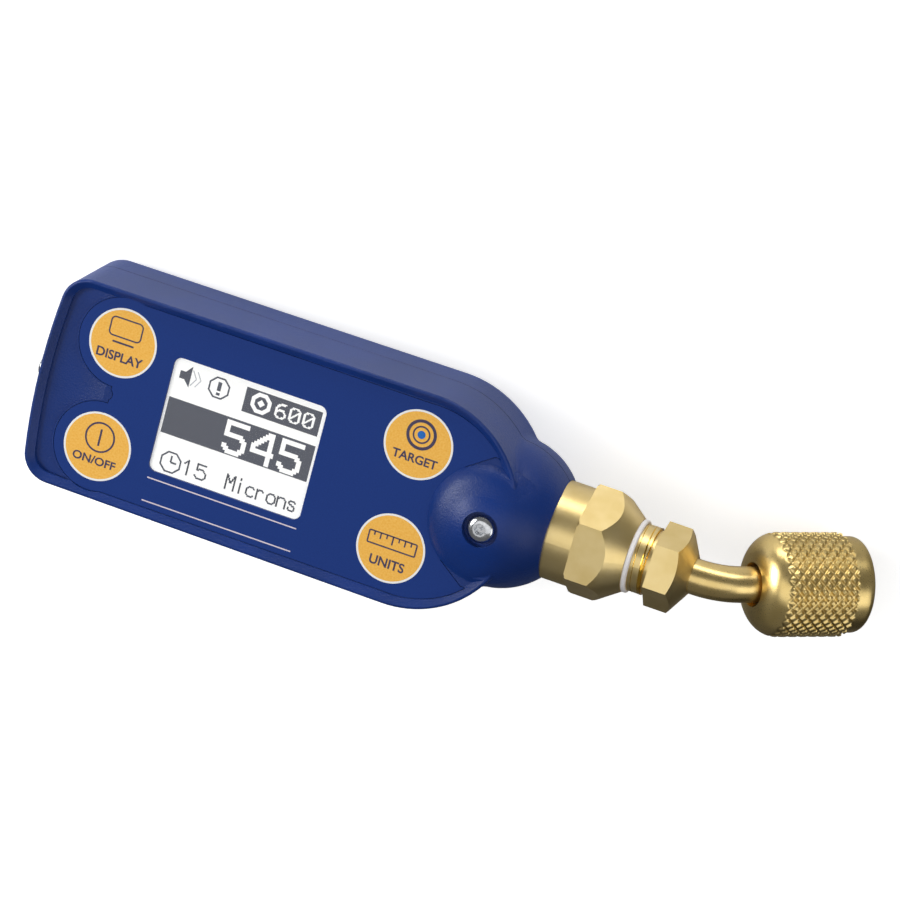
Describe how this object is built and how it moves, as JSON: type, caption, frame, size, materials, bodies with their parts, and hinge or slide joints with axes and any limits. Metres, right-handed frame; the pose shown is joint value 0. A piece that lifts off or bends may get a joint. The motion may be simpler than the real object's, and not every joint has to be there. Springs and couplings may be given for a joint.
{
  "type": "digital vacuum gauge",
  "caption": "Hand-held digital vacuum gauge: flat housing with printed film, display and round keys, a ball end with a brass sensor body, and an elbow with a knurled swivel nut.",
  "frame": {"origin": "on the flat back of the housing, midway between the four keys", "axes": "+X along the housing towards the nut, +Y across it, +Z out of the printed face"},
  "size_m": [0.1613, 0.0418, 0.0402],
  "materials": {
    "housing_blue": "satin moulded",
    "film_print": "printed film",
    "lens_clear": "clear",
    "panel_glass": "polished",
    "light_guide": "translucent white",
    "frame_black": "moulded",
    "board_green": "solder mask",
    "chip_black": "moulded",
    "steel_bright": "bright",
    "brass_satin": "satin turned",
    "brass_knurled": "knurled",
    "white_seal": "soft white",
    "black_rubber": "soft",
    "glass_seal": "fused",
    "flex_amber": "film",
    "battery_wrap": "printed wrap"
  },
  "bodies": {
    "housing": {"front_shell": "housing_blue", "back_shell": "housing_blue", "battery_door": "housing_blue", "keypad_film": "film_print", "display_lens": "lens_clear", "display_panel": "panel_glass", "backlight": "light_guide", "display_frame": "frame_black", "main_board": "board_green", "processor_chip": "chip_black", "buzzer": "chip_black", "board_screws": "steel_bright", "housing_screws": "steel_bright", "door_screw": "steel_bright", "ball_screw": "steel_bright", "screw_insert": "brass_satin", "sensor_body": "brass_satin", "sensor_header": "glass_seal", "sensor_pins": "steel_bright", "sensor_element": "steel_bright", "sensor_seal": "black_rubber", "sensor_flex": "flex_amber", "seal_ring": "white_seal", "elbow_fitting": "brass_satin", "elbow_tube": "brass_satin", "nut_seal": "black_rubber", "core_depressor": "brass_satin", "battery_contact_left": "steel_bright", "battery_contact_right": "steel_bright", "switch_body_1": "chip_black", "switch_body_2": "chip_black", "switch_body_3": "chip_black", "switch_body_4": "chip_black", "battery_1": "battery_wrap", "battery_2": "battery_wrap", "battery_3": "battery_wrap"},
    "flare_nut": {"flare_nut": "brass_knurled"},
    "hanging_hook": {"hanging_hook": "steel_bright"},
    "switch_plunger_1": {"switch_plunger_1": "frame_black"},
    "switch_plunger_2": {"switch_plunger_2": "frame_black"},
    "switch_plunger_3": {"switch_plunger_3": "frame_black"},
    "switch_plunger_4": {"switch_plunger_4": "frame_black"}
  },
  "joints": [
    {"name": "nut_spin", "type": "hinge", "parent": "housing", "child": "flare_nut", "pos_m": [0.10146, 0.00166, -0.00098], "axis": [0.766, 0.1006, -0.6349], "continuous": true},
    {"name": "hook_swing", "type": "hinge", "parent": "housing", "child": "hanging_hook", "pos_m": [-0.0429, 0, 0.0036], "axis": [0, -1, 0], "range_deg": [0, 85]},
    {"name": "key_press_1", "type": "slide", "parent": "housing", "child": "switch_plunger_1", "axis": [0, 0, -1], "range_m": [0, 0.00025], "stiffness_N_per_m": 300},
    {"name": "key_press_2", "type": "slide", "parent": "housing", "child": "switch_plunger_2", "axis": [0, 0, -1], "range_m": [0, 0.00025], "stiffness_N_per_m": 300},
    {"name": "key_press_3", "type": "slide", "parent": "housing", "child": "switch_plunger_3", "axis": [0, 0, -1], "range_m": [0, 0.00025], "stiffness_N_per_m": 300},
    {"name": "key_press_4", "type": "slide", "parent": "housing", "child": "switch_plunger_4", "axis": [0, 0, -1], "range_m": [0, 0.00025], "stiffness_N_per_m": 300}
  ]
}
